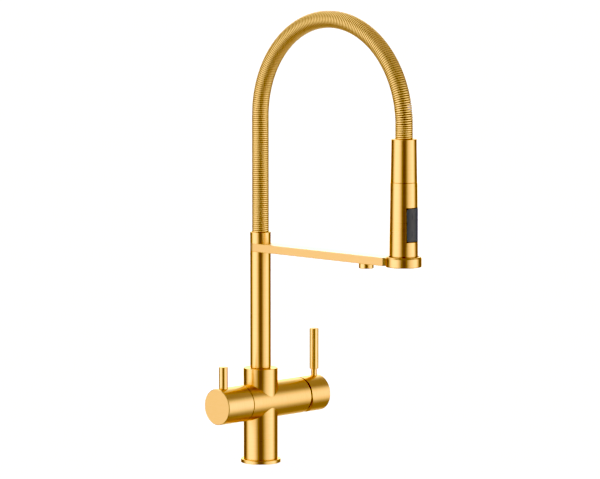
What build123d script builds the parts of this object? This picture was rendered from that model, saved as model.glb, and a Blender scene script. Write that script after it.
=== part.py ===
from build123d import *
import math
import os

# Three way filtered water tap with a sprung pull-down spray head.
# Frame: +Z up, origin on the underside of the base flange at the riser axis.
# The arm and the spray head reach towards -Y. The valve barrel lies along X,
# with the filtered water knob at -X and the mixer lever at +X.
# All lengths in millimetres. Heights in this file are counted from a plane
# 1 mm below the flange's underside; that 1 mm comes off when a part is written.

os.makedirs("parts", exist_ok=True)

# ---- driving dimensions -------------------------------------------------
UNDERSIDE = 1.0          # height of the flange's underside in this file
FLANGE_R = 25.0          # base flange
FLANGE_T = 4.5
SPIGOT_R = 14.9          # body spigot that fills the flange
BODY_R = 21.4            # upright column
BODY_TOP = 120.0
BARREL_R = 22.5          # horizontal barrel
BARREL_Z = 78.0
BARREL_X0 = -32.1        # fixed part of the barrel, filter side
BARREL_X1 = 67.4         # fixed part of the barrel, mixer side
KNOB_X0 = -75.5          # outer face of the filter knob
KNOB_X1 = -32.9
CAP_X_TOP = 69.4         # inner edge of the lever cap: upright down to the axis,
CAP_SLOPE = 0.30         # then cut back so that it can tilt
CAP_X1 = 102.0
PIN_X = -64.2            # filter knob pin
PIN_R = 5.6
PIN_TOP = 127.0
LEVER_X = 94.3           # mixer lever
LEVER_R = 5.7
LEVER_NECK_R = 3.85
LEVER_NECK_Z = 108.8
LEVER_TOP = 160.7
PIVOT_X = 55.0           # lever tilt axis
TAIL = 12.0              # pivot to the tail of the stem
RISER_R = 13.0           # riser, arm root and collar share one diameter
RISER_RI = 11.5
RISER_Z0 = 120.4
ARM_Z0 = 266.3
ARM_Z1 = 276.3
ARM_END_Y = -222.3
COLLAR_Z1 = 290.4
REACH = 245.0            # riser axis to spray head axis
SPRING_Z = 435.0         # where both legs of the spring meet the arch
SPRING_RO = 10.65
SPRING_RI = 8.1
SPRING_Z0 = 278.4        # lower end of the spring, inside the collar
SPRING_Z1 = 412.0        # other end of the spring, inside the spray head
HOSE_RO = 5.5
HOSE_RI = 3.6
HOSE_Z0 = 133.0
HOSE_Z1 = 396.0
RING_RO = 21.6           # docking ring
RING_RI = 18.6
RING_Z1 = 278.7
NOZZLE_Y = -183.0        # filtered water outlet under the arm
NOZZLE_R = 9.1
NOZZLE_Z0 = 259.7
HEAD_Z0 = 279.4          # visible lower edge of the spray head
HEAD_R0 = 17.2
HEAD_SEAM = 367.4
HEAD_RS = 16.2
HEAD_RU = 15.95
HEAD_TOP = 419.4
HEAD_RT = 15.2
BUTTON_Z0 = 297.3
BUTTON_Z1 = 337.4
BUTTON_W = 19.0
STUD_R = 4.0             # M8 fixing stud
STUD_L = 15.0
PORT_R = 4.0             # hose ports, M8 fine thread
PORT_L = 12.0
PORT_PCR = 9.5
TUBE_Y = -7.75           # filtered water tube, beside the hose in the riser
TUBE_R = 2.0
TUBE_Z = 271.3


# ---- helpers ------------------------------------------------------------
def turned(*pts):
    """Solid of revolution about Z from (radius, height) corners."""
    return revolve(Plane.XZ * Polygon(*pts, align=None), axis=Axis.Z)


def turned_x(*pts, y=0.0, z=BARREL_Z):
    """Solid of revolution about an axis along X; height runs along +X."""
    return Pos(0, y, z) * Rot(0, 90, 0) * turned(*pts)


def cyl(r, z0, z1, x=0.0, y=0.0):
    return Pos(x, y, z0) * Cylinder(r, z1 - z0, align=(Align.CENTER, Align.CENTER, Align.MIN))


def cyl_x(r, x0, x1, y=0.0, z=BARREL_Z):
    return Pos(x0, y, z) * Rot(0, 90, 0) * Cylinder(r, x1 - x0, align=(Align.CENTER, Align.CENTER, Align.MIN))


def cyl_y(r, y0, y1, x=0.0, z=0.0):
    return Pos(x, y1, z) * Rot(90, 0, 0) * Cylinder(r, y1 - y0, align=(Align.CENTER, Align.CENTER, Align.MIN))


def block(x0, x1, y0, y1, z0, z1):
    return Pos((x0 + x1) / 2, (y0 + y1) / 2, (z0 + z1) / 2) * Box(x1 - x0, y1 - y0, z1 - z0)


def at_head(s):
    return Pos(0, -REACH, 0) * s


PARTS = {}


def keep(name, shape):
    PARTS[name] = shape


# ---- base and valve body -------------------------------------------------
U, FT = UNDERSIDE, UNDERSIDE + FLANGE_T
flange = turned((SPIGOT_R + 0.1, U), (FLANGE_R - 0.2, U), (FLANGE_R, U + 0.2), (FLANGE_R, FT - 0.5),
                (FLANGE_R - 0.5, FT), (SPIGOT_R + 0.1, FT))
flange -= turned((18.0, -1), (21.0, -1), (21.0, U + 1.8), (18.0, U + 1.8))
keep("base_flange", flange)
keep("base_seal", turned((18.2, U), (20.8, U), (20.8, U + 1.0), (20.2, U + 1.7), (18.8, U + 1.7), (18.2, U + 1.0)))

body = turned((0, U), (SPIGOT_R, U), (SPIGOT_R, FT + 0.05), (BODY_R, FT + 0.05),
              (BODY_R, BODY_TOP - 0.5), (BODY_R - 0.5, BODY_TOP), (0, BODY_TOP))
body += turned_x((0, BARREL_X0), (BARREL_R - 0.3, BARREL_X0), (BARREL_R, BARREL_X0 + 0.3),
                 (BARREL_R, BARREL_X1 - 0.3), (BARREL_R - 0.3, BARREL_X1), (0, BARREL_X1))
# mixer cartridge bay with its nut thread
body -= cyl_x(17.6, 31.0, 80)
body -= cyl_x(18.5, 60.2, 80)
# filter valve bay
body -= cyl_x(10.1, -40, -11.0)
# riser socket and bush seat
body -= cyl(10.56, 92.0, 130)
body -= cyl(12.5, 114.0, 130)
# mixed water: cartridge floor to the riser socket
body -= cyl_x(3.5, 0, 32, z=BARREL_Z + 9)
body -= cyl(3.5, BARREL_Z + 9 - 3.4, 93)
# hot and cold feeds
PX = PORT_PCR * math.cos(math.radians(45))
for s in (1, -1):
    body -= cyl(PORT_R, -1, U + PORT_L, PX, s * PX)
    body -= cyl(3.0, U + PORT_L - 0.5, BARREL_Z - 4, PX, s * PX)
    body -= cyl_x(3.0, PX, 32, y=s * PX, z=BARREL_Z - 6.5)
# filtered feed, then from the filter valve up to the swivel gallery
body -= cyl(PORT_R, -1, U + PORT_L, -PORT_PCR, 0)
body -= cyl(2.5, U + PORT_L - 0.5, BARREL_Z - 3, -PORT_PCR, 0)
body -= cyl(2.0, BARREL_Z + 6, 104, -15.8, 0)
body -= cyl_x(2.0, -15.8, -8, z=104)
# fixing stud
body -= cyl(STUD_R, -1, U + STUD_L)
keep("valve_body", body)

keep("swivel_bush", turned((10.6, 114.1), (12.4, 114.1), (12.4, BODY_TOP + 0.15), (10.6, BODY_TOP + 0.15)))

# ---- filter valve ---------------------------------------------------------
headwork = turned_x((0, -36.0), (7.6, -36.0), (8.0, -35.6), (8.0, -31.6), (10.0, -31.6), (10.0, -12.9), (0, -12.9))
headwork -= cyl_x(3.56, -40, -19)
headwork -= cyl_x(7.0, -20.2, -12)
headwork -= turned_x((8.3, -28.0), (12, -28.0), (12, -25.6), (8.3, -25.6))
headwork -= cyl(2.0, BARREL_Z + 4, BARREL_Z + 12, -15.8, 0)
keep("filter_headwork", headwork)
keep("headwork_o_ring", turned_x((8.4, -27.8), (10.0, -27.8), (10.0, -25.8), (8.4, -25.8)))
fdisc = cyl_x(6.9, -15.2, -13.0)
fdisc -= cyl_x(1.8, -16, -12, y=0, z=BARREL_Z - 3.4)
fdisc -= cyl_x(1.8, -16, -12, y=0, z=BARREL_Z + 3.4)
keep("filter_fixed_disc", fdisc)
mdisc = cyl_x(6.6, -17.6, -15.3)
mdisc -= Pos(-15.8, 0, BARREL_Z) * Box(1.4, 3.2, 9.6)
keep("filter_moving_disc", mdisc)
spindle = turned_x((0, -56.0), (3.1, -56.0), (3.5, -55.6), (3.5, -19.9), (6.4, -19.9), (6.4, -17.7), (0, -17.7))
spindle -= Pos(-49, 0, BARREL_Z - 4.3) * Box(13.0, 8, 3.0)
keep("filter_spindle", spindle)

knob = turned_x((0, KNOB_X0), (BARREL_R - 0.8, KNOB_X0), (BARREL_R, KNOB_X0 + 0.8),
                (BARREL_R, KNOB_X1 - 0.3), (BARREL_R - 0.3, KNOB_X1), (19.5, KNOB_X1), (19.5, -70.5),
                (7.5, -70.5), (7.5, -39.5), (0, -39.5))
knob -= cyl_x(3.56, -57, -30)
knob -= cyl(2.5, BARREL_Z + 18, BARREL_Z + 25, PIN_X, 0)
knob -= cyl(2.05, BARREL_Z - 9, BARREL_Z - 2.5, -50, 0)
knob -= cyl(2.6, BARREL_Z - 25, BARREL_Z - 18, -50, 0)
keep("filter_knob", knob)
pin = Pos(PIN_X, 0, 0) * turned((0, 96.0), (PIN_R, 96.0), (PIN_R, PIN_TOP - 0.5), (PIN_R - 0.5, PIN_TOP), (0, PIN_TOP))
pin -= cyl_x(BARREL_R + 0.02, -90, -40)
pin += cyl(2.45, BARREL_Z + 19.6, BARREL_Z + 26, PIN_X, 0)
keep("filter_pin", pin)
gs = cyl(2.0, BARREL_Z - 8.6, BARREL_Z - 3.2, -50, 0)
gs -= Pos(-50, 0, BARREL_Z - 8.6) * extrude(RegularPolygon(1.1, 6), 2.2)
keep("filter_knob_screw", gs)
keep("filter_screw_plug", cyl(2.55, BARREL_Z - 22.3, BARREL_Z - 19.6, -50, 0))

# ---- mixer cartridge --------------------------------------------------------
SEALS = ((0.0, 9.0), (PX, -6.5), (-PX, -6.5))      # (y, z) of the three ports
cart = turned_x((0, 31.2), (17.5, 31.2), (17.5, 60.0), (14.5, 60.0), (14.5, 35.0), (0, 35.0))
for (py, pz) in SEALS:
    cart -= cyl_x(2.6, 30, 36, y=py, z=BARREL_Z + pz)
    cart -= cyl_x(4.7, 30, 32.4, y=py, z=BARREL_Z + pz)
keep("cartridge_body", cart)
seals = None
for (py, pz) in SEALS:
    s = turned_x((2.9, 31.05), (4.6, 31.05), (4.6, 32.3), (2.9, 32.3), y=py, z=BARREL_Z + pz)
    seals = s if seals is None else seals + s
keep("cartridge_seals", seals)
fixd = cyl_x(14.4, 35.1, 39.0)
for (py, pz) in SEALS:
    fixd -= cyl_x(2.6, 34, 40, y=py, z=BARREL_Z + pz)
keep("mixer_fixed_disc", fixd)
movd = cyl_x(10.7, 39.15, 44.2)
movd -= cyl_x(3.3, 42.0, 45)
movd -= Pos(39.9, 0, BARREL_Z + 1.5) * Box(2.0, 11.0, 11.0)
keep("mixer_moving_disc", movd)
rotor = cyl_x(14.2, 46.0, 59.8)
rotor -= block(40, 65, -4.3, 4.3, BARREL_Z - 8.5, BARREL_Z + 8.5)
rotor -= cyl_y(1.52, -11, 11, x=PIVOT_X, z=BARREL_Z)
keep("cartridge_rotor", rotor)
keep("stem_pivot_pin", cyl_y(1.5, -10.8, 10.8, x=PIVOT_X, z=BARREL_Z))
stem = block(50.5, 91.0, -4.0, 4.0, BARREL_Z - 4.0, BARREL_Z + 4.0)
stem += turned_x((0, PIVOT_X - TAIL), (1.7, PIVOT_X - TAIL), (2.4, PIVOT_X - TAIL + 0.8), (2.4, 50.6), (0, 50.6))
stem -= cyl_y(1.56, -11, 11, x=PIVOT_X, z=BARREL_Z)
keep("mixer_stem", stem)
nut = turned_x((12.0, 60.3), (18.4, 60.3), (18.4, 66.8), (18.0, 67.2), (12.4, 67.2), (12.0, 66.8))
for k in range(4):
    a = math.radians(45 + 90 * k)
    nut -= cyl_x(1.5, 64.5, 71, y=15.2 * math.cos(a), z=BARREL_Z + 15.2 * math.sin(a))
keep("cartridge_nut", nut)

# ---- mixer lever --------------------------------------------------------------
cap = turned_x((0, 60.0), (BARREL_R, 60.0), (BARREL_R, CAP_X1 - 0.8), (BARREL_R - 0.8, CAP_X1), (0, CAP_X1))
cap -= turned_x((9.5, 50), (19.4, 50), (19.4, 95.5), (9.5, 95.5))
cap -= cyl_x(15, 50, 76.0)
wedge = extrude(Plane.XZ * Polygon((40, BARREL_Z + 30), (CAP_X_TOP, BARREL_Z + 30), (CAP_X_TOP, BARREL_Z),
                                   (CAP_X_TOP + CAP_SLOPE * 30, BARREL_Z - 30), (40, BARREL_Z - 30), align=None),
                amount=30, both=True)
cap -= wedge
cap -= block(70, 91.4, -4.05, 4.05, BARREL_Z - 4.05, BARREL_Z + 4.05)
cap -= cyl(3.0, BARREL_Z + 17, BARREL_Z + 25, LEVER_X, 0)
cap -= cyl(2.55, BARREL_Z - 12, BARREL_Z - 3, 84, 0)
cap -= cyl(3.1, BARREL_Z - 25, BARREL_Z - 17, 84, 0)
keep("lever_cap", cap)
lever = Pos(LEVER_X, 0, 0) * turned((0, 96.0), (LEVER_NECK_R, 96.0), (LEVER_NECK_R, LEVER_NECK_Z - 0.3),
                                    (LEVER_R - 0.4, LEVER_NECK_Z), (LEVER_R, LEVER_NECK_Z + 0.4),
                                    (LEVER_R, LEVER_TOP - 0.5), (LEVER_R - 0.5, LEVER_TOP), (0, LEVER_TOP))
lever -= cyl_x(BARREL_R + 0.02, 60, 110)
lever += cyl(2.95, BARREL_Z + 19.6, BARREL_Z + 26, LEVER_X, 0)
keep("lever_handle", lever)
gs = cyl(2.5, BARREL_Z - 10.4, BARREL_Z - 4.1, 84, 0)
gs -= Pos(84, 0, BARREL_Z - 10.4) * extrude(RegularPolygon(1.4, 6), 2.6)
keep("lever_cap_screw", gs)
keep("lever_screw_plug", cyl(3.05, BARREL_Z - 22.2, BARREL_Z - 19.6, 84, 0))

# ---- riser and swivel -----------------------------------------------------------
sw = turned((4.4, 93.0), (10.2, 93.0), (10.5, 93.3), (10.5, RISER_Z0 + 0.1), (11.4, RISER_Z0 + 0.1), (11.4, 132.0), (4.4, 132.0))
sw -= turned((9.0, 101.8), (12, 101.8), (12, 106.2), (9.0, 106.2))
for z in (96.0, 109.0):
    sw -= turned((8.7, z), (12, z), (12, z + 2.4), (8.7, z + 2.4))
sw -= cyl(1.4, 104, 122, 0, TUBE_Y)
sw -= cyl(TUBE_R + 0.05, 121, 133, 0, TUBE_Y)
sw -= cyl_y(1.4, -11, TUBE_Y, z=104)
sw -= cyl(HOSE_RO + 0.05, 124.9, 133)
keep("swivel_stem", sw)
rings = turned((8.8, 96.1), (10.52, 96.1), (10.52, 98.3), (8.8, 98.3))
rings += turned((8.8, 109.1), (10.52, 109.1), (10.52, 111.3), (8.8, 111.3))
keep("swivel_o_rings", rings)
keep("riser_tube", turned((RISER_RI, RISER_Z0), (RISER_R - 0.3, RISER_Z0), (RISER_R, RISER_Z0 + 0.3),
                          (RISER_R, ARM_Z0), (RISER_RI, ARM_Z0)))
core = turned((10.0, 250.0), (11.4, 250.0), (11.4, 277.6), (10.0, 277.6))
core -= Pos(0, -11, TUBE_Z) * Box(6.0, 8.0, 9.0)
keep("riser_coupling", core)

arm = block(-RISER_R, RISER_R, ARM_END_Y, 0, ARM_Z0, ARM_Z1) + cyl(RISER_R, ARM_Z0, ARM_Z1)
arm = chamfer(arm.edges().filter_by(Axis.Y), 0.35)
arm -= cyl(11.45, ARM_Z0 - 1, ARM_Z1 + 1)
arm -= block(-10.8, 10.8, ARM_END_Y - 1, -6.0, ARM_Z0 + 1.8, ARM_Z1 - 1.8)
arm -= cyl(7.0, ARM_Z0 - 1, ARM_Z0 + 4, 0, NOZZLE_Y)
keep("arm", arm)
brk = block(-10.7, 10.7, ARM_END_Y - 0.5, ARM_END_Y + 9, ARM_Z0 + 1.9, ARM_Z1 - 1.9)
E = ARM_END_Y - 0.02
brk += Pos(0, 0, ARM_Z0 + 0.25) * extrude(Polygon((-12.8, E), (-12.8, E - 0.3), (-9.0, E - 4.1), (9.0, E - 4.1), (12.8, E - 0.3),
                                                 (12.8, E), align=None), amount=ARM_Z1 - ARM_Z0 - 0.5)
brk -= at_head(cyl(RING_RO + 0.02, ARM_Z0 - 5, ARM_Z1 + 5))
keep("dock_bracket", brk)
ring = turned((RING_RI, ARM_Z0), (RING_RO - 0.9, ARM_Z0), (RING_RO - 0.25, ARM_Z0 + 0.3), (RING_RO, ARM_Z0 + 1.0),
              (RING_RO, RING_Z1 - 1.9), (RING_RO - 1.1, RING_Z1), (RING_RI, RING_Z1))
keep("dock_ring", at_head(ring))
keep("dock_liner", at_head(turned((17.4, ARM_Z0 + 0.8), (RING_RI - 0.05, ARM_Z0 + 0.8), (RING_RI - 0.05, RING_Z1 - 0.5),
                                  (17.4, RING_Z1 - 0.5))))

# filtered water tube: up the riser, round one bend and along the arm
TB = 6.0
tpath = (Line((0, TUBE_Y, 124), (0, TUBE_Y, TUBE_Z - TB))
         + ThreePointArc((0, TUBE_Y, TUBE_Z - TB),
                         (0, TUBE_Y - TB * (1 - math.sqrt(0.5)), TUBE_Z - TB * (1 - math.sqrt(0.5))),
                         (0, TUBE_Y - TB, TUBE_Z))
         + Line((0, TUBE_Y - TB, TUBE_Z), (0, NOZZLE_Y + 8.0, TUBE_Z)))
tube = sweep(Plane((0, TUBE_Y, 124), z_dir=(0, 0, 1)) * (Circle(TUBE_R) - Circle(1.3)), path=tpath)
keep("filter_tube", tube)

noz = turned((1.6, 269.6), (1.6, 264.8), (7.3, 264.8), (7.3, NOZZLE_Z0), (NOZZLE_R - 0.5, NOZZLE_Z0), (NOZZLE_R, NOZZLE_Z0 + 0.5),
             (NOZZLE_R, ARM_Z0 - 0.02), (6.9, ARM_Z0 - 0.02), (6.9, 269.6))
keep("nozzle_body", Pos(0, NOZZLE_Y, 0) * noz)
aer = cyl(7.2, NOZZLE_Z0 + 0.5, 264.4)
for k in range(6):
    a = math.radians(60 * k)
    aer -= cyl(1.2, NOZZLE_Z0 - 1, 263.0, 4.4 * math.cos(a), 4.4 * math.sin(a))
aer -= cyl(1.2, NOZZLE_Z0 - 1, 266)
keep("nozzle_aerator", Pos(0, NOZZLE_Y, 0) * aer)

keep("spring_collar", turned((11.45, ARM_Z1 + 0.02), (RISER_R, ARM_Z1 + 0.02), (RISER_R, COLLAR_Z1 - 0.4),
                             (RISER_R - 0.4, COLLAR_Z1), (SPRING_RO + 0.15, COLLAR_Z1), (SPRING_RO + 0.15, 278.0),
                             (11.45, 278.0)))


def arch_path(z0, z1):
    r = REACH / 2
    return (Line((0, 0, z0), (0, 0, SPRING_Z))
            + ThreePointArc((0, 0, SPRING_Z), (0, -r, SPRING_Z + r), (0, -REACH, SPRING_Z))
            + Line((0, -REACH, SPRING_Z), (0, -REACH, z1)))


keep("coil_spring", sweep(Plane((0, 0, SPRING_Z0), z_dir=(0, 0, 1)) * (Circle(SPRING_RO) - Circle(SPRING_RI)),
                          path=arch_path(SPRING_Z0, SPRING_Z1)))
keep("spray_hose", sweep(Plane((0, 0, HOSE_Z0 - 8), z_dir=(0, 0, 1)) * (Circle(HOSE_RO) - Circle(HOSE_RI)),
                         path=arch_path(HOSE_Z0 - 8, HOSE_Z1)))

# ---- hose coupling ----------------------------------------------------------------
coup = turned((3.0, 361.6), (4.6, 361.6), (5.0, 362.0), (5.0, 374.0), (10.4, 374.0), (10.4, 393.0), (9.8, 393.6),
              (7.3, 393.6), (7.3, 404.0), (HOSE_RO + 0.06, 404.0), (HOSE_RO + 0.06, 378.0), (3.0, 378.0))
coup -= turned((3.9, 365.0), (6, 365.0), (6, 367.0), (3.9, 367.0))
keep("hose_coupling", at_head(coup))
keep("coupling_o_ring", at_head(turned((4.0, 365.1), (5.02, 365.1), (5.02, 366.9), (4.0, 366.9))))

# ---- spray head ---------------------------------------------------------------------
upper = turned((11.0, HEAD_TOP), (11.0, 413.4), (13.3, 411.4), (13.3, 367.65), (HEAD_RU - 0.25, 367.65),
               (HEAD_RU, 367.9), (HEAD_RT, HEAD_TOP - 0.6), (HEAD_RT - 0.6, HEAD_TOP))
keep("head_upper_sleeve", at_head(upper))
lower = turned((14.6, 267.3), (15.6, 267.3), (16.4, 268.1), (16.4, HEAD_Z0), (HEAD_R0 - 0.3, HEAD_Z0),
               (HEAD_R0, HEAD_Z0 + 0.3), (HEAD_RS, HEAD_SEAM - 0.2), (HEAD_RS - 0.2, HEAD_SEAM), (14.6, HEAD_SEAM))
win = block(-BUTTON_W / 2 - 0.35, BUTTON_W / 2 + 0.35, -25, -5, BUTTON_Z0 - 0.7, BUTTON_Z1 + 0.7)
lower -= win
keep("head_lower_shell", at_head(lower))
hc = turned((0, 283.0), (14.5, 283.0), (14.5, HEAD_SEAM), (13.2, HEAD_SEAM), (13.2, 373.0), (0, 373.0))
hc -= cyl(5.06, 361.0, 380)
hc -= cyl(4.7, 351.0, 362)
hc -= block(-4.0, 4.0, 0, 8, 345.0, 352.0)
hc -= cyl(3.0, 280, 352, 0, 6.5)
PVY, PVZ = -7.2, (BUTTON_Z0 + BUTTON_Z1) / 2
hc -= block(-BUTTON_W / 2 - 0.35, BUTTON_W / 2 + 0.35, -25, -9.6, BUTTON_Z0 - 0.7, BUTTON_Z1 + 0.7)
SPY = -1.0
hc -= block(-2.4, 2.4, -12, SPY - 2.5, PVZ - 3.2, PVZ + 3.2)
hc -= cyl(3.06, 296.0, 339.0, 0, SPY)
hc -= cyl_x(1.27, -11.2, 11.2, y=PVY, z=PVZ)
keep("head_core", at_head(hc))
keep("rocker_pin", at_head(cyl_x(1.25, -11.0, 11.0, y=PVY, z=PVZ)))
btn = turned((14.9, BUTTON_Z0), (16.75, BUTTON_Z0), (17.15, BUTTON_Z0 + 0.4), (17.15, BUTTON_Z1 - 0.4), (16.75, BUTTON_Z1), (14.9, BUTTON_Z1))
face = Plane.XZ * Pos(0, PVZ) * RectangleRounded(BUTTON_W, BUTTON_Z1 - BUTTON_Z0, 2.2)
btn &= extrude(face, amount=25)
# two raised pads and the lug that turns on the pin
for s in (1, -1):
    pad = turned((17.0, PVZ + s * 10.5 - 3.4), (17.4, PVZ + s * 10.5 - 3.4), (17.4, PVZ + s * 10.5 + 3.4), (17.0, PVZ + s * 10.5 + 3.4))
    btn += pad & block(-3.2, 3.2, -25, -10, PVZ - 30, PVZ + 30)
lug = block(-1.8, 1.8, -15.4, PVY, PVZ - 2.4, PVZ + 2.4) + cyl_x(2.4, -1.8, 1.8, y=PVY, z=PVZ)
lug += block(-1.4, 1.4, PVY, SPY - 2.05, PVZ - 0.8, PVZ + 0.8)
lug += block(-7.6, -6.0, -14.6, -10.9, PVZ - 8, PVZ + 8) + block(6.0, 7.6, -14.6, -10.9, PVZ - 8, PVZ + 8)
btn += lug
btn -= cyl_x(1.31, -12.2, 12.2, y=PVY, z=PVZ)
keep("rocker_button", at_head(btn))
spool = turned((0, 300.0), (2.8, 300.0), (3.0, 300.2), (3.0, PVZ - 1.2), (1.8, PVZ - 1.2), (1.8, PVZ + 1.2), (3.0, PVZ + 1.2),
               (3.0, 334.8), (2.8, 335.0), (0, 335.0))
keep("diverter_spool", at_head(Pos(0, SPY, 0) * spool))
cv = turned((0, 351.6), (4.55, 351.6), (4.55, 360.4), (2.2, 360.4), (2.2, 356.0), (0, 356.0))
keep("check_valve", at_head(cv))
dist = turned((0, 271.6), (14.5, 271.6), (14.5, 282.9), (0, 282.9))
dist -= cyl(3.0, 276.0, 284, 0, 6.5)
dist -= turned((7.4, 270), (13.2, 270), (13.2, 277.0), (7.4, 277.0))
dist -= cyl(6.1, 270, 276.5)
keep("spray_distributor", at_head(dist))
face = turned((6.2, 268.0), (14.0, 268.0), (14.4, 268.4), (14.4, 271.5), (6.2, 271.5))
for (n, rr) in ((12, 8.4), (18, 11.6)):
    for k in range(n):
        a = 2 * math.pi * k / n
        face -= cyl(0.6, 266, 273, rr * math.cos(a), rr * math.sin(a))
keep("spray_face", at_head(face))
ae = cyl(6.0, 268.2, 276.3)
for k in range(6):
    a = math.radians(60 * k)
    ae -= cyl(1.1, 266, 274.5, 3.6 * math.cos(a), 3.6 * math.sin(a))
ae -= cyl(1.1, 266, 278)
keep("spray_aerator", at_head(ae))

if __name__ == "__main__":
    for name, shape in PARTS.items():
        shape = Pos(0, 0, -UNDERSIDE) * shape
        shape.label = name
        export_step(shape, f"parts/{name}.step")
        n = len(shape.solids())
        print(f"{name:22s} solids {n}  volume {shape.volume:10.1f}")
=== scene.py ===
import math
import bpy
import numpy as np
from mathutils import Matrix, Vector


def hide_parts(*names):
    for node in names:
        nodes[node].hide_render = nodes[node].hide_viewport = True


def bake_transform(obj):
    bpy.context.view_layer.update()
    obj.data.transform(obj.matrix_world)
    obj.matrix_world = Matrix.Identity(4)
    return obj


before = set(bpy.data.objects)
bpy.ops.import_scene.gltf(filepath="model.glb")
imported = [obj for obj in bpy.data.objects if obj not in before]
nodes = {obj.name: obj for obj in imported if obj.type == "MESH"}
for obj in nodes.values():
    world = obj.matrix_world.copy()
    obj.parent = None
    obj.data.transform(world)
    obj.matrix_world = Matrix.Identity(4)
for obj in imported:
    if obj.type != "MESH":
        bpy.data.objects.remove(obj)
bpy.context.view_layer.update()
scene = bpy.context.scene

# ---------------------------------------------------------------- camera
# Fitted to the photograph's frame of 600 x 479.
AZ, EL = math.radians(-44.806), math.radians(6.13)
BACK = Vector((math.sin(AZ) * math.cos(EL), -math.cos(AZ) * math.cos(EL), math.sin(EL)))
RIGHT = Vector((math.cos(AZ), math.sin(AZ), 0.0))
TARGET = Vector((0.03436, -0.03425, 0.27947)) + RIGHT * 0.00062
cam_data = bpy.data.cameras.new("camera")
cam_data.sensor_fit = "HORIZONTAL"
cam_data.sensor_width = 36.0
cam_data.lens = 3358.49 / 600.0 * 36.0
cam_data.clip_start, cam_data.clip_end = 0.1, 200.0
cam = bpy.data.objects.new("camera", cam_data)
scene.collection.objects.link(cam)
cam.location = TARGET + BACK * 4.1747
cam.rotation_mode = "QUATERNION"
cam.rotation_quaternion = (-BACK).to_track_quat("-Z", "Y")
scene.camera = cam


# ---------------------------------------------------------------- node helpers
class Tree:
    """Short calls for building a shader tree."""

    def __init__(self, tree):
        self.t = tree
        self.t.nodes.clear()

    def node(self, kind, **props):
        n = self.t.nodes.new(kind)
        for k, v in props.items():
            setattr(n, k, v)
        return n

    def link(self, a, b):
        self.t.links.new(a, b)

    def put(self, socket, value):
        if isinstance(value, (int, float, tuple, list)):
            socket.default_value = value
        else:
            self.link(value, socket)

    def math(self, op, a, b=0.0, c=None, clamp=False):
        n = self.node("ShaderNodeMath", operation=op, use_clamp=clamp)
        self.put(n.inputs[0], a)
        self.put(n.inputs[1], b)
        if c is not None:
            self.put(n.inputs[2], c)
        return n.outputs[0]

    def vec(self, op, a, b=(0.0, 0.0, 0.0), scale=None):
        n = self.node("ShaderNodeVectorMath", operation=op)
        self.put(n.inputs[0], a)
        self.put(n.inputs[1], b)
        if scale is not None:
            self.put(n.inputs["Scale"], scale)
        return n.outputs["Value"] if op in ("DOT_PRODUCT", "LENGTH", "DISTANCE") else n.outputs["Vector"]

    def split(self, v):
        n = self.node("ShaderNodeSeparateXYZ")
        self.link(v, n.inputs[0])
        return n.outputs

    def join(self, x, y, z):
        n = self.node("ShaderNodeCombineXYZ")
        for s, v in zip(n.inputs, (x, y, z)):
            self.put(s, v)
        return n.outputs[0]

    def ramp(self, fac, stops, mode="LINEAR"):
        n = self.node("ShaderNodeValToRGB")
        r = n.color_ramp
        r.interpolation = mode
        while len(r.elements) > 1:
            r.elements.remove(r.elements[-1])
        for i, (p, v) in enumerate(stops):
            e = r.elements[0] if i == 0 else r.elements.new(p)
            e.position = p
            e.color = (v, v, v, 1.0) if isinstance(v, (int, float)) else (*v, 1.0)
        self.link(fac, n.inputs[0])
        return n.outputs[0]

    def noise(self, vector, scale=1.0, detail=2.0, rough=0.5):
        n = self.node("ShaderNodeTexNoise")
        self.link(vector, n.inputs["Vector"])
        n.inputs["Scale"].default_value = scale
        n.inputs["Detail"].default_value = detail
        n.inputs["Roughness"].default_value = rough
        return n.outputs[0]

    def remap(self, v, a, b, c, d, smooth=False):
        n = self.node("ShaderNodeMapRange", interpolation_type="SMOOTHSTEP" if smooth else "LINEAR")
        self.put(n.inputs[0], v)
        for k, x in zip((1, 2, 3, 4), (a, b, c, d)):
            n.inputs[k].default_value = x
        return n.outputs[0]

    def mix(self, fac, a, b, kind="RGBA", blend="MIX"):
        n = self.node("ShaderNodeMix", data_type=kind)
        if kind == "RGBA":
            n.blend_type = blend
            i, j, o = 6, 7, 2
        elif kind == "VECTOR":
            i, j, o = 4, 5, 1
        else:
            i, j, o = 2, 3, 0
        self.put(n.inputs[0], fac)
        self.put(n.inputs[i], a if not isinstance(a, tuple) or kind != "RGBA" else (*a, 1.0))
        self.put(n.inputs[j], b if not isinstance(b, tuple) or kind != "RGBA" else (*b, 1.0))
        return n.outputs[o]


def new_material(name):
    m = bpy.data.materials.new(name)
    m.use_nodes = True
    t = Tree(m.node_tree)
    out = t.node("ShaderNodeOutputMaterial")
    bsdf = t.node("ShaderNodeBsdfPrincipled")
    t.link(bsdf.outputs[0], out.inputs[0])
    return m, t, bsdf


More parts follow.
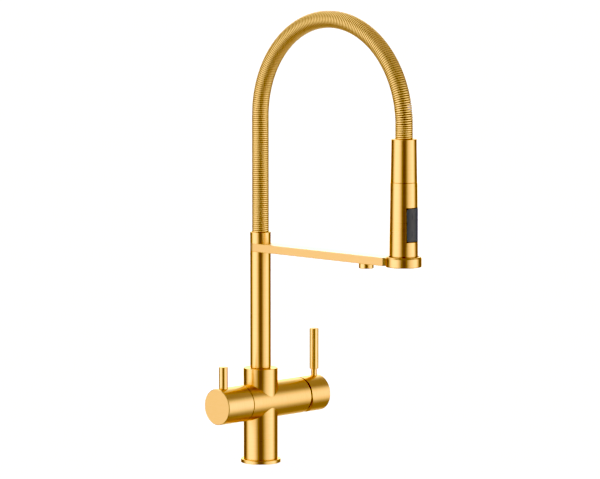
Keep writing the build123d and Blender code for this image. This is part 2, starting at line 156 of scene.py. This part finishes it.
# ---------------------------------------------------------------- studio
# A studio in world directions: a dark gap towards the camera, a large soft
# box on each side, darker ceiling and floor, and a white backdrop behind.
def studio():
    w = bpy.data.worlds.new("studio")
    scene.world = w
    w.use_nodes = True
    t = Tree(w.node_tree)
    out = t.node("ShaderNodeOutputWorld")
    tc = t.node("ShaderNodeTexCoord")
    d = tc.outputs["Generated"]
    flat = Vector((BACK.x, BACK.y, 0)).normalized()
    dc = t.vec("DOT_PRODUCT", d, tuple(flat))
    ds = t.vec("DOT_PRODUCT", d, tuple(RIGHT))
    z = t.split(d)[2]
    psi = t.math("ARCTAN2", ds, dc)                        # right of the camera is positive
    u = t.math("ADD", t.math("MULTIPLY", psi, 0.5 / math.pi), 0.5)
    el = t.math("ARCSINE", z)
    v = t.math("ADD", t.math("MULTIPLY", el, 1.0 / math.pi), 0.5)

    def U(deg):
        return 0.5 + deg / 360.0

    def V(deg):
        return 0.5 + deg / 180.0

    side = t.ramp(u, [
        (U(-116), 0.0), (U(-106), 0.34), (U(-98), 0.78), (U(-90), 1.12), (U(-82), 1.27), (U(-74), 1.35), (U(-62), 1.33), (U(-50), 1.28),
        (U(-41), 1.15), (U(-33), 0.82), (U(-25), 0.43), (U(-17), 0.13), (U(-9), 0.0),
        (U(11), 0.0), (U(19), 0.10), (U(26), 0.32), (U(33), 0.60), (U(41), 0.86), (U(50), 1.02), (U(60), 1.12), (U(72), 1.24), (U(81), 1.33),
        (U(90), 1.22), (U(98), 0.80), (U(107), 0.30), (U(115), 0.04), (U(128), 0.03), (U(138), 0.06), (U(152), 0.06)])
    tall = t.ramp(v, [(V(-50), 0.0), (V(-41), 0.14), (V(-33), 0.36), (V(-26), 0.66), (V(-18), 0.88), (V(-8), 0.98), (V(0), 0.98), (V(10), 1.0),
                      (V(18), 0.90), (V(26), 0.60), (V(33), 0.20), (V(39), 0.0)])
    base = t.ramp(v, [(V(-60), 0.24), (V(-40), 0.19), (V(-22), 0.13), (V(-6), 0.11), (V(10), 0.12), (V(32), 0.18), (V(60), 0.18)])
    more = t.ramp(v, [(V(-60), 0.08), (V(-35), 0.04), (V(-20), 0.0), (V(20), 0.0), (V(33), 0.14), (V(60), 0.14)])
    turn = t.math("ABSOLUTE", psi)
    base = t.math("ADD", base, t.math("MULTIPLY", more, t.remap(turn, math.radians(70), math.radians(100), 0.0, 1.0)))
    level = t.math("ADD", t.math("MULTIPLY", t.math("MULTIPLY", side, tall), 1.30), base)
    # a soft light high up on the left, behind the object
    high = t.math("MULTIPLY", t.ramp(u, [(U(-176), 0.0), (U(-160), 0.5), (U(-135), 1.0), (U(-95), 1.0), (U(-75), 0.0)]),
                  t.ramp(v, [(V(22), 0.0), (V(35), 0.8), (V(50), 1.0), (V(70), 1.0), (V(82), 0.6)]))
    level = t.math("ADD", level, t.math("MULTIPLY", high, 1.35))
    backdrop = t.math("MULTIPLY", t.remap(turn, math.radians(150), math.radians(172), 0.0, 1.0),
                      t.ramp(v, [(V(-62), 0.15), (V(-45), 0.5), (V(-20), 0.95), (V(-8), 1.35), (V(0), 2.2), (V(10), 3.0), (V(24), 2.6), (V(36), 1.1),
                                 (V(48), 0.2), (V(60), 0.0)]))
    tint = t.mix(1.0, (1.0, 0.82, 0.60), level, blend="MULTIPLY")
    warmth = t.mix(t.remap(el, math.radians(-12), math.radians(14), 0.0, 1.0), (1.0, 0.95, 0.82), (1.0, 0.97, 0.88))
    tint = t.mix(1.0, tint, t.mix(1.0, warmth, backdrop, blend="MULTIPLY"), blend="ADD")
    lit = t.node("ShaderNodeBackground")
    t.link(tint, lit.inputs["Color"])
    lit.inputs["Strength"].default_value = 1.25
    seen = t.node("ShaderNodeBackground")
    seen.inputs["Color"].default_value = (1, 1, 1, 1)
    seen.inputs["Strength"].default_value = 1.6
    lp = t.node("ShaderNodeLightPath")
    mx = t.node("ShaderNodeMixShader")
    t.link(lp.outputs["Is Camera Ray"], mx.inputs[0])
    t.link(lit.outputs[0], mx.inputs[1])
    t.link(seen.outputs[0], mx.inputs[2])
    t.link(mx.outputs[0], out.inputs[0])


studio()
scene.view_settings.view_transform = "Standard"
scene.view_settings.look = "None"
scene.view_settings.use_curve_mapping = True
tone = scene.view_settings.curve_mapping
tone.black_level = (0.055, 0.055, 0.055)
tone.white_level = (1.0, 1.0, 1.0)
tone.clip_max_x = 2.0
# a photographic shoulder, and bright yellows that lean a little towards white
for channel, points in ((3, ((0.15, 0.15), (0.30, 0.291), (0.42, 0.394), (0.51, 0.464), (0.63, 0.543), (0.757, 0.622), (0.862, 0.700), (1.0, 0.790),
                             (1.16, 0.885), (1.32, 0.955), (1.60, 1.0))),
                        (2, ((0.05, 0.05), (0.10, 0.10), (0.18, 0.19), (0.23, 0.262), (0.29, 0.345), (0.38, 0.395), (0.52, 0.455), (0.70, 0.59), (0.86, 0.80)))):
    c = tone.curves[channel]
    if channel == 3:
        c.points[1].location = (2.0, 1.0)
    for x, y in points:
        c.points.new(x, y)
tone.update()


# ---------------------------------------------------------------- materials
GOLD = (0.95, 0.64, 0.287)
PALE = (0.955, 0.67, 0.315)
AXES = {"X": (1.0, 0.0, 0.0), "Y": (0.0, 1.0, 0.0), "Z": (0.0, 0.0, 1.0)}


def brush_frame(t, P, N, axis, origin):
    """Brush direction round an axis, and the texture vector that is stretched along it."""
    Q = t.vec("SUBTRACT", P, tuple(origin))
    line = t.vec("CROSS_PRODUCT", AXES[axis], Q)
    x, y, z = t.split(Q)
    if axis == "Z":
        h, a, b = z, x, y
    elif axis == "X":
        h, a, b = x, y, z
    else:
        h, a, b = y, x, z
    rho = t.math("SQRT", t.math("ADD", t.math("MULTIPLY", a, a), t.math("MULTIPLY", b, b)))
    across = t.math("ADD", h, t.math("MULTIPLY", rho, 0.8))
    return t.vec("NORMALIZE", line), t.join(a, b, across)


def straight_frame(t, P, along):
    """Brush direction along one axis, and the texture vector that is stretched along it."""
    x, y, z = t.split(P)
    if along == "Y":
        return AXES["Y"], t.join(y, 0.0, t.math("ADD", z, t.math("MULTIPLY", x, 0.77)))
    if along == "Z":
        return AXES["Z"], t.join(z, 0.0, t.math("ADD", y, t.math("MULTIPLY", x, 0.77)))
    return AXES["X"], t.join(x, 0.0, t.math("ADD", z, t.math("MULTIPLY", y, 0.77)))


def brushed_metal(name, colour, axis="Z", origin=(0, 0, 0), straight=None, ends=None, barrel=None, shaded_hollow=None,
                  rough=0.30, aniso=0.75, bump=0.25, coat=0.12, rim=(1.0, 0.76, 0.45), hollow=(0.80, 0.95, 0.34)):
    """Fine brushed plating. Brush marks run round the axis, or straight along one.
    ends: axis along which flat end faces point; those are brushed straight.
    barrel: (origin, radius) of a second cylinder along X in the same piece.
    shaded_hollow: (origin, radius, x0, x1) of the hollow along X; its walls and rim faces get painted shade, the gap's
    shadow, darker above the axis.
    hollow: how dark those walls are, and the end faces below and above the axis."""
    m, t, bsdf = new_material(name)
    tc = t.node("ShaderNodeTexCoord")
    P, N = tc.outputs["Object"], tc.outputs["Normal"]
    if straight:
        line, uvw = straight_frame(t, P, straight)
    else:
        line, uvw = brush_frame(t, P, N, axis, origin)
    if barrel:
        bo, br = barrel
        q = t.split(t.vec("SUBTRACT", P, tuple(bo)))
        rr = t.math("SQRT", t.math("ADD", t.math("MULTIPLY", q[1], q[1]), t.math("MULTIPLY", q[2], q[2])))
        on = t.math("LESS_THAN", t.math("ABSOLUTE", t.math("SUBTRACT", rr, br)), 0.0004)
        line2, uvw2 = brush_frame(t, P, N, "X", bo)
        line = t.mix(on, line, line2, "VECTOR")
        uvw = t.mix(on, uvw, uvw2, "VECTOR")
    if ends:
        facing = t.math("ABSOLUTE", t.vec("DOT_PRODUCT", N, AXES[ends]))
        flat = t.math("GREATER_THAN", facing, 0.97)
        line3, uvw3 = straight_frame(t, P, "Y" if ends == "X" else "X")
        line = t.mix(flat, line, line3, "VECTOR")
        uvw = t.mix(flat, uvw, uvw3, "VECTOR")
    else:
        flat = None
    tangent = t.vec("CROSS_PRODUCT", line, N)
    vt = t.node("ShaderNodeVectorTransform", vector_type="VECTOR", convert_from="OBJECT", convert_to="WORLD")
    t.link(tangent, vt.inputs[0])
    t.link(vt.outputs[0], bsdf.inputs["Tangent"])
    # brush marks at three widths, each about twenty times longer than wide
    fine = t.noise(t.vec("MULTIPLY", uvw, (140.0, 140.0, 5200.0)), 1.0, 3.0, 0.6)
    mid = t.noise(t.vec("MULTIPLY", uvw, (60.0, 60.0, 1500.0)), 1.0, 2.0, 0.55)
    wide = t.noise(t.vec("MULTIPLY", uvw, (22.0, 22.0, 430.0)), 1.0, 2.0, 0.5)
    marks = t.math("ADD", t.math("MULTIPLY", fine, 0.5), t.math("ADD", t.math("MULTIPLY", mid, 0.32), t.math("MULTIPLY", wide, 0.18)))
    cloud = t.noise(P, 38.0, 3.0, 0.5)
    bp = t.node("ShaderNodeBump")
    bp.inputs["Strength"].default_value = bump
    bp.inputs["Distance"].default_value = 0.00002
    t.link(marks, bp.inputs["Height"])
    t.link(bp.outputs[0], bsdf.inputs["Normal"])
    dark = tuple(c * k for c, k in zip(colour, (0.93, 0.90, 0.84)))
    light = tuple(min(1.0, c * k) for c, k in zip(colour, (1.03, 1.05, 1.10)))
    tone = t.math("ADD", t.math("MULTIPLY", marks, 0.75), t.math("MULTIPLY", cloud, 0.25))
    plated = t.mix(t.remap(tone, 0.34, 0.66, 0.0, 1.0), dark, light)
    matt = t.remap(t.math("ADD", t.math("MULTIPLY", marks, 0.6), t.math("MULTIPLY", cloud, 0.4)), 0.3, 0.7, rough * 0.86, rough * 1.14)
    if flat is not None or straight:
        flat_matt = t.math("MULTIPLY", matt, 1.4)
        matt = flat_matt if straight else t.mix(flat, matt, flat_matt, "FLOAT")
    # painted shade: the walls of the hollow and its rim faces take darker copies of the colour, the rim faces darker
    # above the axis
    if shaded_hollow:
        bo, br, x0, x1 = shaded_hollow
        q = t.split(t.vec("SUBTRACT", P, tuple(bo)))
        rr = t.math("SQRT", t.math("ADD", t.math("MULTIPLY", q[1], q[1]), t.math("MULTIPLY", q[2], q[2])))
        inside = t.math("MULTIPLY", t.math("LESS_THAN", rr, br),
                        t.math("MULTIPLY", t.math("GREATER_THAN", q[0], x0), t.math("LESS_THAN", q[0], x1)))
        edge = t.math("MULTIPLY", t.math("GREATER_THAN", t.math("ABSOLUTE", t.split(N)[0]), 0.9),
                      t.math("MULTIPLY", t.math("GREATER_THAN", q[0], x0), t.math("LESS_THAN", q[0], x1)))
        plated = t.mix(inside, plated, tuple(c * hollow[0] for c in colour))
        rim_shade = t.mix(t.remap(q[2], -0.007, 0.001, 0.0, 1.0), tuple(c * hollow[1] for c in colour), tuple(c * hollow[2] for c in colour))
        plated = t.mix(edge, plated, rim_shade)
        inside = t.math("MAXIMUM", inside, edge)
        matt = t.mix(inside, matt, 0.6, "FLOAT")
    t.link(plated, bsdf.inputs["Base Color"])
    t.link(matt, bsdf.inputs["Roughness"])
    bsdf.inputs["Metallic"].default_value = 1.0
    bsdf.inputs["Specular Tint"].default_value = (*rim, 1.0)
    bsdf.inputs["Anisotropic"].default_value = aniso
    bsdf.inputs["Coat Weight"].default_value = coat
    bsdf.inputs["Coat Roughness"].default_value = 0.30
    bsdf.inputs["Coat IOR"].default_value = 1.5
    return m


def moulded(name, colour, rough=0.45, grain=2600.0, bump=0.25, coat=0.0, vary=0.10):
    """Moulded plastic or rubber with a fine spark grain."""
    m, t, bsdf = new_material(name)
    P = t.node("ShaderNodeTexCoord").outputs["Object"]
    g = t.noise(P, grain, 3.0, 0.6)
    c = t.noise(P, 60.0, 3.0, 0.5)
    bp = t.node("ShaderNodeBump")
    bp.inputs["Strength"].default_value = bump
    bp.inputs["Distance"].default_value = 0.00003
    t.link(g, bp.inputs["Height"])
    t.link(bp.outputs[0], bsdf.inputs["Normal"])
    lo = tuple(x * (1 - vary) for x in colour)
    hi = tuple(min(1.0, x * (1 + vary)) for x in colour)
    t.link(t.mix(t.remap(t.math("ADD", t.math("MULTIPLY", g, 0.5), t.math("MULTIPLY", c, 0.5)), 0.35, 0.65, 0.0, 1.0), lo, hi),
           bsdf.inputs["Base Color"])
    t.link(t.remap(g, 0.3, 0.7, rough * 0.85, rough * 1.15), bsdf.inputs["Roughness"])
    bsdf.inputs["Coat Weight"].default_value = coat
    bsdf.inputs["Coat Roughness"].default_value = 0.25
    return m


def machined(name, colour, axis="Z", origin=(0, 0, 0), rough=0.32):
    """Turned metal left as it comes off the lathe, with tool marks round the axis."""
    m, t, bsdf = new_material(name)
    tc = t.node("ShaderNodeTexCoord")
    line, uvw = brush_frame(t, tc.outputs["Object"], tc.outputs["Normal"], axis, origin)
    s = t.split(uvw)
    rings = t.math("SINE", t.math("MULTIPLY", s[2], 2 * math.pi / 0.00018))
    n = t.noise(t.vec("MULTIPLY", uvw, (50.0, 50.0, 2500.0)), 1.0, 3.0, 0.6)
    stain = t.noise(tc.outputs["Object"], 90.0, 4.0, 0.6)
    h = t.math("ADD", t.math("MULTIPLY", rings, 0.25), n)
    bp = t.node("ShaderNodeBump")
    bp.inputs["Strength"].default_value = 0.35
    bp.inputs["Distance"].default_value = 0.00002
    t.link(h, bp.inputs["Height"])
    t.link(bp.outputs[0], bsdf.inputs["Normal"])
    dark = tuple(c * 0.80 for c in colour)
    t.link(t.mix(t.remap(t.math("ADD", t.math("MULTIPLY", n, 0.5), t.math("MULTIPLY", stain, 0.5)), 0.35, 0.65, 0.0, 1.0), dark, colour),
           bsdf.inputs["Base Color"])
    t.link(t.remap(n, 0.3, 0.7, rough * 0.8, rough * 1.25), bsdf.inputs["Roughness"])
    bsdf.inputs["Metallic"].default_value = 1.0
    return m


def lapped(name, colour):
    """Lapped ceramic disc."""
    m, t, bsdf = new_material(name)
    P = t.node("ShaderNodeTexCoord").outputs["Object"]
    g = t.noise(P, 900.0, 4.0, 0.6)
    lo = tuple(x * 0.93 for x in colour)
    t.link(t.mix(g, lo, colour), bsdf.inputs["Base Color"])
    t.link(t.remap(g, 0.3, 0.7, 0.12, 0.22), bsdf.inputs["Roughness"])
    bsdf.inputs["Coat Weight"].default_value = 0.3
    return m


def braided(name, colour, path_scale=1.0):
    """Braided hose sleeve: two families of strands that cross."""
    m, t, bsdf = new_material(name)
    P = t.node("ShaderNodeTexCoord").outputs["UV"]
    x, y, _ = t.split(P)
    a = t.math("SINE", t.math("MULTIPLY", t.math("ADD", x, y), 2 * math.pi * 12.0))
    b = t.math("SINE", t.math("MULTIPLY", t.math("SUBTRACT", x, y), 2 * math.pi * 12.0))
    w = t.math("MAXIMUM", a, b)
    n = t.noise(P, 60.0, 2.0, 0.5)
    bp = t.node("ShaderNodeBump")
    bp.inputs["Strength"].default_value = 0.7
    bp.inputs["Distance"].default_value = 0.0002
    t.link(w, bp.inputs["Height"])
    t.link(bp.outputs[0], bsdf.inputs["Normal"])
    lo = tuple(x * 0.55 for x in colour)
    t.link(t.mix(t.remap(t.math("ADD", w, t.math("MULTIPLY", n, 0.5)), -0.4, 1.3, 0.0, 1.0), lo, colour), bsdf.inputs["Base Color"])
    t.link(t.remap(n, 0.3, 0.7, 0.42, 0.6), bsdf.inputs["Roughness"])
    return m


HEAD = (0.0, -0.245, 0.0)
BARREL = (0.0, 0.0, 0.077)
PIN = (-0.0642, 0.0, 0.0)
LEVER = (0.0943, 0.0, 0.0)
NOZZLE = (0.0, -0.183, 0.0)

gold = {
    "base_flange": brushed_metal("gold_flange", GOLD),
    "valve_body": brushed_metal("gold_body", GOLD, barrel=(BARREL, 0.0225)),
    # the knob's and the cap's hollows carry painted shade on their walls and rim faces
    "filter_knob": brushed_metal("gold_knob", PALE, axis="X", origin=BARREL, ends="X", shaded_hollow=(BARREL, 0.0222, -0.0745, -0.02),
                                 hollow=(0.25, 0.22, 0.16)),
    "filter_pin": brushed_metal("gold_pin", PALE, origin=PIN),
    "filter_screw_plug": brushed_metal("gold_plug_a", GOLD, origin=(-0.05, 0, 0)),
    "lever_cap": brushed_metal("gold_cap", GOLD, axis="X", origin=BARREL, ends="X", shaded_hollow=(BARREL, 0.0222, 0.05, 0.101)),
    "lever_handle": brushed_metal("gold_lever", PALE, origin=LEVER),
    "lever_screw_plug": brushed_metal("gold_plug_b", GOLD, origin=(0.084, 0, 0)),
    "riser_tube": brushed_metal("gold_riser", GOLD),
    "arm": brushed_metal("gold_arm", GOLD, straight="Y", coat=0.6, rim=(1.0, 1.0, 1.0)),
    "dock_bracket": brushed_metal("gold_bracket", (0.94, 0.80, 0.48), straight="Y", coat=0.9, rim=(1.0, 1.0, 1.0)),
    "dock_ring": brushed_metal("gold_ring", GOLD, origin=HEAD),
    "nozzle_body": brushed_metal("gold_nozzle", PALE, origin=NOZZLE),
    "spring_collar": brushed_metal("gold_collar", GOLD),
    "head_upper_sleeve": brushed_metal("gold_sleeve", GOLD, origin=HEAD),
    "head_lower_shell": brushed_metal("gold_shell", GOLD, origin=HEAD),
}
BRASS = (0.80, 0.56, 0.26)
STEEL = (0.62, 0.61, 0.59)
other = {
    "filter_headwork": machined("brass_headwork", BRASS, "X", BARREL),
    "filter_spindle": machined("brass_spindle", BRASS, "X", BARREL),
    "cartridge_nut": machined("brass_nut", (0.66, 0.45, 0.21), "X", BARREL, 0.5),
    "swivel_stem": machined("brass_swivel", BRASS),
    "riser_coupling": machined("brass_coupling", BRASS),
    "hose_coupling": machined("brass_hose_end", BRASS, "Z", HEAD),
    "mixer_stem": machined("steel_stem", STEEL, "X", BARREL),
    "stem_pivot_pin": machined("steel_pivot", STEEL, "Y", (0.055, 0, 0.077)),
    "filter_knob_screw": machined("steel_screw_a", STEEL, "Z", (-0.05, 0, 0)),
    "lever_cap_screw": machined("steel_screw_b", STEEL, "Z", (0.084, 0, 0)),
    "rocker_pin": machined("steel_rocker_pin", STEEL, "X", (0, -0.2522, 0.31635)),
}
ceramic = lapped("ceramic_disc", (0.90, 0.90, 0.87))
white_plastic = moulded("plastic_light", (0.80, 0.80, 0.77), 0.42)
black_rubber = moulded("rubber_black", (0.028, 0.028, 0.030), 0.62, 1800.0, 0.3)
spray_rubber = moulded("rubber_spray", (0.16, 0.165, 0.17), 0.58, 1800.0, 0.3)
liner = moulded("plastic_liner", (0.035, 0.033, 0.032), 0.5)
button = moulded("plastic_button", (0.078, 0.112, 0.190), 0.40, 2200.0, 0.35)
for n in ("filter_fixed_disc", "filter_moving_disc", "mixer_fixed_disc", "mixer_moving_disc"):
    other[n] = ceramic
for n in ("base_seal", "headwork_o_ring", "cartridge_seals", "swivel_o_rings", "coupling_o_ring"):
    other[n] = black_rubber
for n in ("swivel_bush", "cartridge_body", "cartridge_rotor", "filter_tube", "nozzle_aerator", "head_core", "check_valve",
          "spray_distributor", "spray_aerator", "diverter_spool"):
    other[n] = white_plastic
other["spray_face"] = spray_rubber
other["dock_liner"] = liner
other["rocker_button"] = button

for n, m in {**gold, **other}.items():
    me = nodes[n].data
    me.materials.clear()
    me.materials.append(m)


# ---------------------------------------------------------------- mesh helpers
def add_object(name, verts, faces, material, smooth=True, uvs=None):
    me = bpy.data.meshes.new(name)
    me.from_pydata([tuple(v) for v in verts], [], [tuple(f) for f in faces])
    me.materials.append(material)
    if smooth:
        me.polygons.foreach_set("use_smooth", [True] * len(me.polygons))
    if uvs is not None:
        layer = me.uv_layers.new(name="UVMap")
        idx = np.zeros(len(me.loops), np.int32)
        me.loops.foreach_get("vertex_index", idx)
        layer.data.foreach_set("uv", np.asarray(uvs, np.float32)[idx].ravel())
    me.update()
    o = bpy.data.objects.new(name, me)
    scene.collection.objects.link(o)
    return o


REACH_R = 0.1225
ARCH_Z = 0.434


def arch(s, z0):
    """Point and direction of the hose route at length s from height z0 of the riser leg."""
    s = np.asarray(s, float)
    up = ARCH_Z - z0
    arc = math.pi * REACH_R
    p = np.zeros((len(s), 3))
    d = np.zeros((len(s), 3))
    a = s < up
    p[a, 2] = z0 + s[a]
    d[a, 2] = 1.0
    b = (s >= up) & (s < up + arc)
    th = (s[b] - up) / REACH_R
    p[b, 1] = -REACH_R + REACH_R * np.cos(th)
    p[b, 2] = ARCH_Z + REACH_R * np.sin(th)
    d[b, 1] = -np.sin(th)
    d[b, 2] = np.cos(th)
    c = s >= up + arc
    p[c, 1] = -2 * REACH_R
    p[c, 2] = ARCH_Z - (s[c] - up - arc)
    d[c, 2] = -1.0
    return p, d


def coil(z0, z1, radius, deep, wide, pitch_leg, pitch_arc, per_turn=24, sides=16, square=4.0, start=0.0):
    """Close wound spring along the arch, of wire with a slightly squared section."""
    up, arc, down = ARCH_Z - z0, math.pi * REACH_R, ARCH_Z - z1
    total = up + arc + down
    turns_up, turns_arc, turns_down = up / pitch_leg, arc / pitch_arc, down / pitch_leg
    turns = turns_up + turns_arc + turns_down
    n = int(round(turns * per_turn))
    tt = np.linspace(0.0, turns, n + 1)
    s = np.interp(tt, [0, turns_up, turns_up + turns_arc, turns], [0, up, up + arc, total])
    p, d = arch(s, z0)
    e1 = np.tile([1.0, 0.0, 0.0], (len(s), 1))
    e2 = np.cross(d, e1)
    th = 2 * math.pi * tt + math.radians(start)
    er = e1 * np.cos(th)[:, None] + e2 * np.sin(th)[:, None]
    c = p + er * radius
    g = np.gradient(c, axis=0)
    g /= np.linalg.norm(g, axis=1)[:, None]
    eb = np.cross(g, er)
    eb /= np.linalg.norm(eb, axis=1)[:, None]
    al = -math.pi + 2 * math.pi * (np.arange(sides) + 0.5) / sides
    w = (np.abs(np.cos(al)) ** square + np.abs(np.sin(al)) ** square) ** (-1.0 / square)
    ring = (c[:, None, :] + (deep * w * np.cos(al))[None, :, None] * er[:, None, :] + (wide * w * np.sin(al))[None, :, None] * eb[:, None, :])
    verts = ring.reshape(-1, 3)
    faces = []
    for i in range(n):
        a0, b0 = i * sides, (i + 1) * sides
        for k in range(sides):
            k2 = (k + 1) % sides
            faces.append((a0 + k, a0 + k2, b0 + k2, b0 + k))
    faces.append(tuple(range(sides))[::-1])
    faces.append(tuple(range(n * sides, (n + 1) * sides)))
    uvs = np.stack(np.broadcast_arrays(tt[:, None] * 8.0, (0.5 + al / (2 * math.pi))[None, :]), -1).reshape(-1, 2)
    return verts, faces, uvs


def hose(z0, z1, ro, ri, step=0.0025, around=32):
    up, arc, down = ARCH_Z - z0, math.pi * REACH_R, ARCH_Z - z1
    total = up + arc + down
    n = int(total / step)
    s = np.linspace(0, total, n + 1)
    p, d = arch(np.clip(s, 0, total - 1e-9), z0)
    e1 = np.tile([1.0, 0.0, 0.0], (len(s), 1))
    e2 = np.cross(d, e1)
    al = 2 * math.pi * np.arange(around) / around
    rings, uvs = [], []
    for r in (ro, ri):
        ring = p[:, None, :] + r * (np.cos(al)[None, :, None] * e1[:, None, :] + np.sin(al)[None, :, None] * e2[:, None, :])
        rings.append(ring.reshape(-1, 3))
        uv = np.stack(np.broadcast_arrays(np.arange(around)[None, :] / around, (s / (2 * math.pi * ro))[:, None]), -1)
        uvs.append(uv.reshape(-1, 2))
    m = (n + 1) * around
    faces = []
    for i in range(n):
        for k in range(around):
            k2 = (k + 1) % around
            a, b, c, e = i * around + k, i * around + k2, (i + 1) * around + k2, (i + 1) * around + k
            faces.append((a, b, c, e))
            faces.append((m + e, m + c, m + b, m + a))
    for k in range(around):
        k2 = (k + 1) % around
        faces.append((m + k, m + k2, k2, k))
        j = n * around
        faces.append((j + k, j + k2, m + j + k2, m + j + k))
    return np.concatenate(rings), faces, np.concatenate(uvs)


# ---------------------------------------------------------------- spring and hose
def wire_metal(name, colour, flank_shade, rough=0.42):
    """Drawn and plated spring wire: die lines along it, and painted shade on the flanks between the turns, where
    neighbouring turns shadow each other.
    The UV map runs along the wire in u and round its section in v, with 0.5 outwards."""
    m, t, bsdf = new_material(name)
    tc = t.node("ShaderNodeTexCoord")
    P, uv = tc.outputs["Object"], t.split(tc.outputs["UV"])
    g = t.noise(P, 1400.0, 3.0, 0.6)
    c = t.noise(P, 70.0, 3.0, 0.5)
    bp = t.node("ShaderNodeBump")
    bp.inputs["Strength"].default_value = 0.2
    bp.inputs["Distance"].default_value = 0.00002
    t.link(g, bp.inputs["Height"])
    t.link(bp.outputs[0], bsdf.inputs["Normal"])
    tan = t.node("ShaderNodeTangent", direction_type="UV_MAP")
    t.link(tan.outputs[0], bsdf.inputs["Tangent"])
    dark = tuple(x * k for x, k in zip(colour, (0.95, 0.93, 0.90)))
    face = t.mix(t.remap(t.math("ADD", t.math("MULTIPLY", g, 0.5), t.math("MULTIPLY", c, 0.5)), 0.35, 0.65, 0.0, 1.0), dark, colour)
    off = t.math("ABSOLUTE", t.math("SUBTRACT", uv[1], 0.5))
    # painted shade: away from the outward crest, the wire's flanks take a darker colour
    t.link(t.mix(t.remap(off, 0.110, 0.140, 0.0, 1.0, True), face, flank_shade), bsdf.inputs["Base Color"])
    t.link(t.remap(g, 0.3, 0.7, rough * 0.9, rough * 1.1), bsdf.inputs["Roughness"])
    bsdf.inputs["Metallic"].default_value = 1.0
    bsdf.inputs["Anisotropic"].default_value = 0.76
    bsdf.inputs["Specular Tint"].default_value = (1.0, 0.84, 0.50, 1.0)
    bsdf.inputs["Coat Weight"].default_value = 0.5
    bsdf.inputs["Coat Roughness"].default_value = 0.30
    return m


# the last colour is the painted shade on the wire's flanks
gold_wire = wire_metal("gold_wire", (1.0, 0.74, 0.35), (0.45, 0.22, 0.045), 0.35)
v, f, uv = coil(0.2787, 0.4122, 0.00945, 0.00120, 0.00120, 0.002526, 0.00263, square=5.5, start=-54.0)
spring = add_object("arch_spring", v, f, gold_wire, uvs=uv)
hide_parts("coil_spring")
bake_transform(spring)

v, f, uv = hose(0.1241, 0.3951, 0.0055, 0.0036)
pipe = add_object("inner_hose", v, f, braided("hose_braid", (0.10, 0.10, 0.105)), uvs=uv)
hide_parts("spray_hose")
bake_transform(pipe)


# ---------------------------------------------------------------- floor
def floor():
    me = bpy.data.meshes.new("floor")
    s = 60.0
    me.from_pydata([(-s, -s, 0), (s, -s, 0), (s, s, 0), (-s, s, 0)], [], [(0, 1, 2, 3)])
    o = bpy.data.objects.new("floor", me)
    scene.collection.objects.link(o)
    m = bpy.data.materials.new("floor_white")
    m.use_nodes = True
    t = Tree(m.node_tree)
    out = t.node("ShaderNodeOutputMaterial")
    dif = t.node("ShaderNodeBsdfDiffuse")
    n = t.noise(t.node("ShaderNodeTexCoord").outputs["Object"], 3.0, 3.0, 0.5)
    t.link(t.mix(n, (0.86, 0.86, 0.86), (0.90, 0.90, 0.90)), dif.inputs["Color"])
    em = t.node("ShaderNodeEmission")
    em.inputs["Color"].default_value = (1.0, 1.0, 1.08, 1.0)
    em.inputs["Strength"].default_value = 1.12
    add = t.node("ShaderNodeAddShader")
    t.link(dif.outputs[0], add.inputs[0])
    t.link(em.outputs[0], add.inputs[1])
    t.link(add.outputs[0], out.inputs[0])
    me.materials.append(m)
    o.visible_glossy = False
    o.visible_diffuse = False


floor()
